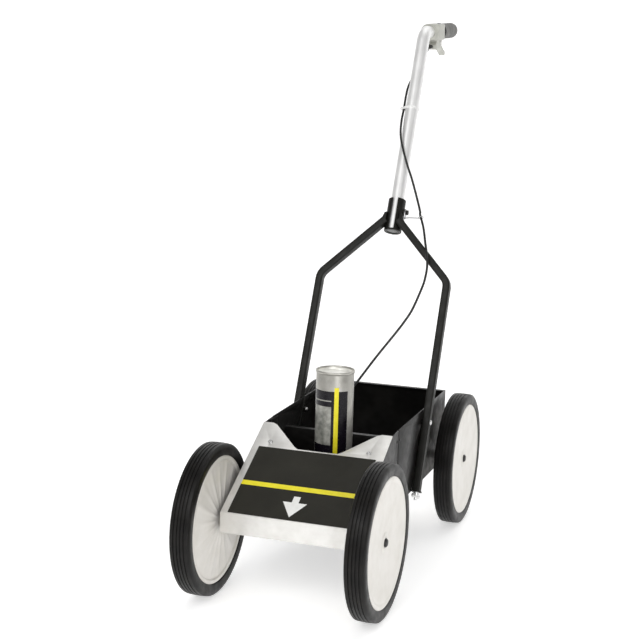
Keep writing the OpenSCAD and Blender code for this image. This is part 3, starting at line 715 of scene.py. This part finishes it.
for sx, nm in ((-1, "left"), (1, "right")):
    path = [YK(sx * 126, -10 + 0.001, 9), YK(sx * 126, -9.4, 9)]
    path += [YK(sx * 126, v, 9) for v in range(10, 375, 20)]
    cu, r = 99.0, 27.0
    for i in range(0, 25):
        a = rad(43.8) * i / 24
        path.append(YK(sx * (cu + r * cos(a)), 375 + r * sin(a), 9))
    ea = rad(43.8)
    eu, ev = cu + r * cos(ea), 375 + r * sin(ea)
    for s in (20, 50, 80, 110, 140, 152):
        path.append(YK(sx * (eu - sin(ea) * s), ev + cos(ea) * s, 9))
    o = sweep("yoke_tube_" + nm, path, rrect(14, 18, 3.2), ref=YK_BACK, smooth=35)
    put(o, "chassis", "black_tube", "yoke_arm_" + nm)
    # weld web between the arm and the collar
    g = rounded([(12.5, 496), (24, 489), (32.5, 493.2), (25, 501), (20.4, 508.6), (17.2, 518), (12.5, 520)], [0, 0, 1, 8, 10, 1, 0], 5)
    o = prism("weld_web_" + nm, g, lambda u, v: YK(sx * u, v, 5.5), lambda u, v: YK(sx * u, v, 15.5), smooth=40, bevel=1.6, seg=3)
    put(o, "chassis", "black_tube")
    # foot lug
    g = rounded([(117.2, 0.3), (135, 0.3), (135, 17.7), (117.2, 17.7)], [0, 4, 4, 0], 5)
    o = prism("foot_lug_" + nm, g, lambda u, n: YK(sx * u, -12.5, n), lambda u, n: YK(sx * u, -10.02, n), bevel=0.4)
    put(o, "chassis", "black_tube", "yoke_lugs")

# collar: split socket
def collar():
    n = 72
    half = math.degrees(math.asin(5.25 / 17.0))
    vs = []
    hi, lo = 550.0, 484.0
    prof = [(12.78, lo + 0.6), (13.2, lo + 0.02), (16.4, lo), (17.0, lo + 0.7), (17.0, hi - 1.0), (16.2, hi - 0.1), (15.2, hi), (13.4, hi), (12.78, hi - 0.6)]
    return lathe("collar_socket", prof, YK(0, 0, 22), YK_DIR, n, smooth=40)


o = collar()
# cut the slot on the front, above the thin closed lip
cut = prism("cut_slot", rounded([(-5.3, 487), (5.3, 487), (5.3, 570), (-5.3, 570)], [1.5, 1.5, 0, 0], 4), lambda u, v: YK(u, v, -6), lambda u, v: YK(u, v, 20))
md = add_mod(o, "BOOLEAN", object=cut, operation="DIFFERENCE", solver="EXACT")
apply_mods(o, 35)
bpy.data.objects.remove(cut)
add_mod(o, "BEVEL", width=0.0006, segments=2, limit_method="ANGLE", angle_limit=rad(50))
apply_mods(o, 40)
put(o, "chassis", "black_tube", "yoke_collar")
o = lathe("collar_lip", [(10.2, 484.3), (13.0, 484.02), (13.2, 484.4), (13.2, 485.3), (12.6, 485.6), (10.2, 485.5)], YK(0, 0, 22), YK_DIR, 64)
put(o, "chassis", "black_tube")
o = lathe("collar_boss", [(3.05, 15.8), (6.5, 15.8), (6.5, 18.8), (5.9, 19.45), (3.5, 19.45), (3.05, 19.1)], YK(0, 525, 22), (1, 0, 0), 40)
put(o, "chassis", "black_tube")

# wire arm with an eye that carries the cable, on a small plate under the clamp screw
g = rounded([(16.2, 510.3), (21.8, 510.3), (28.2, 522), (28.2, 528), (25, 531.3), (19, 531.3), (16, 528), (15.6, 520), (16.2, 515)], [1, 1.5, 4, 3.2, 3.2, 3.2, 3, 2, 1], 4)
o = prism("guide_plate", g, lambda n, v: YK(19.52, v, n), lambda n, v: YK(21.28, v, n), bevel=0.2, seg=1)
put(o, "chassis", "spring_steel", "cable_guide")
pts = [YK(20.5, 511.5, 17.3), YK(23, 511.6, 16.4), YK(28, 511.7, 14.6), YK(34, 511.6, 12.7), YK(42, 511.0, 10.3), YK(51.4, 510.0, 7.5)]
o = sweep("guide_wire", cat(pts, 6), circle2(0.9, 12), smooth=60)
put(o, "chassis", "spring_steel")
e_ring = []
c_ = YK(56, 511.4, 7.5)
e_ax = (YK(-0.342, 0.934, 0.103) - YK(0, 0, 0)).normalized()
e_a = (YK(1, 0, 0) - YK(0, 0, 0)).cross(e_ax).normalized()
e_b = e_ax.cross(e_a)
for i in range(40):
    a = 2 * pi * i / 40
    e_ring.append(c_ + (e_a * cos(a) + e_b * sin(a)) * 0.0046)
o = sweep("guide_eye", e_ring, circle2(0.8, 10), smooth=60, closed=True)
put(o, "chassis", "spring_steel")

# ------------------------------------------------------------------ handle tube, one smooth sweep
va = (952 - YO[2] + 22 * sin(LEAN)) / cos(LEAN)
turn = 180 - 25 - 94
tl = 34 * math.tan(rad(turn) / 2)
path = [YK(0, v, 22) for v in (486.5, 487.5, 520, 560, 600, 650, 700, 750, 800, 850)] + [YK(0, va - tl, 22)]
cb = (434 - tl * sin(LEAN) + 34 * cos(LEAN), 952 - tl * cos(LEAN) - 34 * sin(LEAN))
for i in range(1, 25):
    a = rad(155 - turn * i / 24)
    path.append(S(0, cb[0] + 34 * cos(a), cb[1] + 34 * sin(a)))
path += [HB(0, y, 0) for y in (30, 60, 100, 150, 200, 215)]
o = sweep("push_tube", path, circle2(12.7, 64), ref=(1, 0, 0), smooth=50)
# open lower end
cut = prism("cut_bore", [(11.1 * cos(2 * pi * i / 48), 11.1 * sin(2 * pi * i / 48)) for i in range(48)], lambda u, w: YK(u, 478, 22 + w), lambda u, w: YK(u, 600, 22 + w))
md = add_mod(o, "BOOLEAN", object=cut, operation="DIFFERENCE", solver="EXACT")
apply_mods(o, 50)
bpy.data.objects.remove(cut)
put(o, "handle", "polished_aluminium", "handle_tube")

# ------------------------------------------------------------------ grip: ribbed sleeve with a front flange and a rounded end
o = lathe("grip_front_ring", [(12.75, 112.3), (15.8, 112.0), (16.8, 112.5), (17.0, 113.3), (17.0, 115.0), (16.7, 115.7), (15.9, 116.0), (12.75, 116.0)], HB(0, 0, 0), HB_DIR, 72, smooth=48)
put(o, "handle", "black_rubber")
prof = [(12.75, 116.05), (14.3, 116.05), (14.6, 116.9)]
y = 117.4
while y < 208:
    prof += [(14.0, y), (14.3, y + 0.4), (15.6, y + 0.9), (16.0, y + 1.6), (16.0, y + 3.0), (15.6, y + 3.7), (14.3, y + 4.2), (14.0, y + 4.6)]
    y += 6.0
prof += [(15.0, y), (15.8, y + 0.5), (16.0, y + 1.6), (15.6, y + 3.0)]
prof += [(14.2, 219.2), (12.0, 219.95), (0.0, 220.0), (0.0, 216.2), (12.75, 216.1)]
o = lathe("grip_sleeve", prof, HB(0, 0, 0), HB_DIR, 72, smooth=48)
put(o, "handle", "grip_rubber", "hand_grip")

# ------------------------------------------------------------------ remaining CAD pieces, finished
for n, w in (("tray_shell", 0.35), ("rear_axle_beam", 0.8), ("hood_side_left", 0.3), ("hood_side_right", 0.3), ("divider_plate", 0.35), ("can_cradle", 0.35),
             ("actuator_bracket", 0.3), ("actuator_lever", 0.3), ("cable_anchor", 0.3), ("arm_wing_nuts", 0.6), ("collar_clamp_screw", 0.5),
             ("trigger_housing", 1.2), ("trigger_lever", 1.2), ("arm_studs", 0.3), ("cable_adjuster", 0.3), ("cable_ferrule", 0.5), ("panel_screws", 0.25),
             ("housing_screw", 0.3), ("arm_backing_strips", 0.3), ("cable_tie", 0.3), ("spray_tip", 0.4)):
    try:
        from_cad(n, w)
    except Exception as e:
        print("from_cad failed", n, e)

# ------------------------------------------------------------------ front panel: one folded sheet
SLOPE = math.atan2(P_TOP[1] - P_FOLD[1], P_TOP[0] - P_FOLD[0])
T = 1.6
p_in = (P_TOP[0] + T * sin(SLOPE), P_TOP[1] - T * cos(SLOPE))
f_in = P_FOLD[0] + T
z_in = p_in[1] + (f_in - p_in[0]) * math.tan(SLOPE)
outl = rounded([P_TOP, P_FOLD, (P_FOLD[0], 114), (-250, 114), (-250, 115.6), (f_in, 115.6), (f_in, z_in), p_in], [0.4, 3.0, 3.0, 0.3, 0.3, 1.4, 1.4, 0.4], 6)
o = prism("folded_panel", outl, lambda y, z: S(-117, y, z), lambda y, z: S(117, y, z), smooth=30)
cutters = [prism("cut_notch", rounded([(-99, -9), (-99, 0), (-91, 4), (-43, 52), (-36, 57), (36, 57), (43, 52), (91, 4), (99, 0), (99, -9)], [0, 2, 6, 8, 8, 8, 8, 6, 2, 0], 5),
                 lambda x, q: SL(x, q, -6), lambda x, q: SL(x, q, 5))]
for sx in (-1, 1):
    cutters.append(lathe("cut_hole", [(0, -6), (2.0, -6), (2.0, 5), (0, 5)], SL(sx * 88.5, 46.5, 0), SL(0, 0, 1) - SL(0, 0, 0), 28))
for cu in cutters:
    add_mod(o, "BOOLEAN", object=cu, operation="DIFFERENCE", solver="EXACT")
    apply_mods(o, 30)
    bpy.data.objects.remove(cu)
add_mod(o, "BEVEL", width=0.00028, segments=2, limit_method="ANGLE", angle_limit=rad(50), use_clamp_overlap=True)
apply_mods(o, 30)
put(o, "chassis", "bright_aluminium", "front_panel")

# ------------------------------------------------------------------ arm bolts, nuts and washers
for sx, nm in ((-1, "left"), (1, "right")):
    c = YK(0, 117, 9)
    a = (sx, 0, 0)
    o = lathe("arm_bolt_" + nm, [(0, 105.3), (2.6, 105.3), (3.0, 105.8), (3.0, 133.02), (4.3, 133.02), (4.75, 133.25), (4.75, 133.7), (4.3, 134.6), (3.3, 135.15), (1.9, 135.38), (0, 135.4)], c, a, 32)
    put(o, "chassis", "zinc_steel", "arm_bolts")
    o = lathe("arm_washer_" + nm, [(3.05, 117.05), (5.6, 117.05), (5.75, 117.3), (5.75, 118.7), (5.6, 118.95), (3.05, 118.95)], c, a, 32)
    put(o, "chassis", "black_tube")
    o = lathe("arm_nut_" + nm, [(3.05, 108.6), (4.9, 108.6), (5.75, 109.2), (5.75, 113.0), (5.5, 113.4), (3.05, 113.4)], c, a, 6, smooth=20)
    put(o, "chassis", "black_tube")


# ------------------------------------------------------------------ torsion springs as wound wire
def coil(name, c, ax, e, r, x0, x1, turns, wire, body, node, legs):
    ax, e = Vector(ax), Vector(e)
    f = ax.cross(e)
    pts = []
    n = int(turns * 24)
    for i in range(n + 1):
        a = 2 * pi * turns * i / n
        pts.append(c + (ax * (x0 + (x1 - x0) * i / n) + e * (r * cos(a)) + f * (r * sin(a))) / 1000)
    t0 = (pts[0] - pts[1]).normalized()
    t1 = (pts[-1] - pts[-2]).normalized()
    pts = [pts[0] + t0 * legs[0] / 1000] + pts + [pts[-1] + t1 * legs[1] / 1000]
    o = sweep(name, pts, circle2(wire, 10), smooth=60)
    put(o, body, "spring_steel", node)


coil("actuator_torsion_spring", S(0, -10, 112), (1, 0, 0), (0, 0, 1), 6.5, -5.6, -3.5, 2.6, 0.5, "chassis", "actuator_spring", (2.5, 2.5))
coil("trigger_torsion_spring", HB(0, 98, -22), (1, 0, 0), (HB(0, 0, 1) - HB(0, 0, 0)).normalized(), 3.65, -5.4, -3.8, 2.3, 0.42, "handle", "trigger_spring", (1.5, 1.5))

# ------------------------------------------------------------------ printed film on the panel
def flat_print(name, pts, slot_mat, h0, h1):
    o = prism(name, pts, lambda x, s: SL(x, s, h0), lambda x, s: SL(x, s, h1), mat=slot_mat)
    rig.ride(o, "chassis")
    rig.slot(o, "decal_print")
    return o


o = flat_print("film_ground", rounded([(-105, 60), (105, 60), (105, 215.5), (-105, 215.5)], 1.2, 4), "decal_print", 0.02, 0.30)
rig.replaces(o, "panel_decal")
flat_print("film_band", [(-105, 141), (105, 141), (105, 151), (-105, 151)], "print_yellow", 0.25, 0.34)
flat_print("film_arrow", [(-5.8, 163.5), (5.8, 163.5), (5.8, 177), (21, 177), (0, 209), (-21, 177), (-5.8, 177)], "print_white", 0.25, 0.34)

# ------------------------------------------------------------------ can
cc = S(0, -72, 0)
o = lathe("can_wall", [(32.1, 150.4), (33.0, 150.4), (33.0, 350.6), (32.7, 351.6), (32.1, 351.8)], cc, (0, 0, 1), 96)
put(o, "can", "can_print", "can_body")
o = lathe("can_rolled_rim", [(33.02, 351.0), (33.8, 351.6), (34.25, 352.6), (34.3, 354.2), (34.0, 355.4), (33.3, 356.0), (32.4, 355.9), (31.8, 355.2), (31.5, 353.4), (31.3, 350.6), (32.0, 350)], cc, (0, 0, 1), 96, smooth=50)
put(o, "can", "can_tinplate", "can_base_ring")
o = lathe("can_base_dome", [(31.5, 353.2), (31.2, 350.6), (30.2, 348.4), (28.4, 347.4), (26.2, 347.8), (20, 349.4), (12, 350.9), (5, 351.7), (0, 351.9), (0, 351.4), (12, 350.4), (20, 348.9), (26.5, 347.0), (29, 346.8), (31.2, 347.8), (31.9, 350)],
          cc, (0, 0, 1), 96, mat="tin_dome", smooth=50)
put(o, "can", "can_tinplate")
for nm, a0, a1, z0, z1, mt in (("label_ground", -150, 60.5, 151.5, 323, "print_dark"), ("label_stripe", 17.3, 30.5, 152, 330, "print_yellow"),
                               ("label_picture", -58, 8.8, 228, 296, "print_grey"), ("label_block", -150, -64, 196, 302, "print_grey"),
                               ("label_rule", -58, 8.8, 305, 307, "print_grey")):
    r1 = 33.10 if mt == "print_dark" else 33.16
    o = lathe("can_" + nm, [(32.9, z0), (r1, z0), (r1, z1), (32.9, z1)], cc, (0, 0, 1), max(8, int((a1 - a0) / 3)), a0, a1, mat=mt, smooth=30)
    put(o, "can", "can_print")

# ------------------------------------------------------------------ cable
up_pts = [(0, 479, 929), (0, 468, 921), (-2, 451, 905), (-7, 430, 884), (-13, 410, 864), (-17, 392, 846),
          (-17, 376, 827), (-17, 363, 800), (-16, 345, 775), (-10, 322, 750), (0, 305, 726),
          (14, 292, 694), (27, 283, 667), (43, 270, 629), (53, 258, 606)]
lo_pts = [(54, 255, 601), (65, 241, 578), (75, 221, 552), (80, 212, 539), (84, 203, 527), (88, 191, 509),
          (87, 179, 485), (82, 167, 463), (73, 150, 433), (62, 136, 411), (50, 122, 391),
          (23, 94, 349), (0, 62, 309), (-9, 45, 292), (-12, 24, 269), (-10, 6, 248), (-6, -9, 226), (-2, -17, 206), (0, -19, 192)]
o = sweep("cable_housing_upper", cat([S(*p) for p in up_pts] , 10), circle2(2.2, 16), smooth=60)
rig.blend(o, "chassis", "handle", start=S(53, 258, 606), end=YK(-16, 735, 22))
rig.replaces(o, "cable_upper")
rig.slot(o, "cable_jacket")
o.data.materials.append(M["cable_jacket"])
o = sweep("cable_housing_lower", cat([S(53, 258, 606)] + [S(*p) for p in lo_pts], 10), circle2(2.2, 16), smooth=60)
put(o, "chassis", "cable_jacket", "cable_lower")

# ------------------------------------------------------------------ everything still plain gets its material
for n, o in NODES.items():
    o.data.materials.clear()
    o.data.materials.append(M[SLOT_OF[n]])
    shade(o.data, 35) if False else None

# ------------------------------------------------------------------ stage
def stage_mesh():
    vs, fs = [], []
    prof = [(-9, 0), (3.2, 0)] + [(3.2 + 1.6 * sin(rad(a)), 1.6 - 1.6 * cos(rad(a))) for a in range(6, 91, 6)] + [(4.8, 7)]
    for x in (-12, 12):
        for y_, z_ in prof:
            vs.append(Vector((x, y_, z_ - 0.0002)))
    k = len(prof)
    for i in range(k - 1):
        fs.append([i, i + 1, k + i + 1, k + i])
    return obj_from("floor", vs, fs, 60)


fl = stage_mesh()
t = Mat("floor_paper", (0.93, 0.93, 0.93), 0.8, Specular_IOR_Level=0.1, Emission_Color=(1, 1, 1, 1), Emission_Strength=0.50)
t.vary_color(3, (0.925, 0.925, 0.925), (0.935, 0.935, 0.935))
fl.data.materials.append(t.m)
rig.stage(fl)

world = bpy.data.worlds.new("world")
scene.world = world
world.use_nodes = True
world.node_tree.nodes["Background"].inputs[0].default_value = (1.0, 0.995, 0.985, 1)
world.node_tree.nodes["Background"].inputs[1].default_value = 0.34


def area(name, loc, target, size, power, sy=None):
    ld = bpy.data.lights.new(name, "AREA")
    ld.shape = "RECTANGLE"
    ld.size = size
    ld.size_y = sy or size
    ld.energy = power
    o = bpy.data.objects.new(name, ld)
    scene.collection.objects.link(o)
    o.location = loc
    o.rotation_euler = (Vector(target) - Vector(loc)).to_track_quat("-Z", "Y").to_euler()
    return o


area("key", (-0.9, -3.6, 2.8), (0, 0, 0.3), 2.4, 52)
area("fill", (2.2, -3.3, 1.3), (0, -0.2, 0.2), 2.0, 42)
area("top", (0.2, 0.9, 3.8), (0, 0, 0.3), 2.6, 22)
scene.view_settings.view_transform = "Standard"
scene.view_settings.look = "None"

VIS_BOX = [list(v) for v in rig.bounds()]
json.dump({"cad": CAD_BOX, "visual": VIS_BOX}, open("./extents.json", "w"))
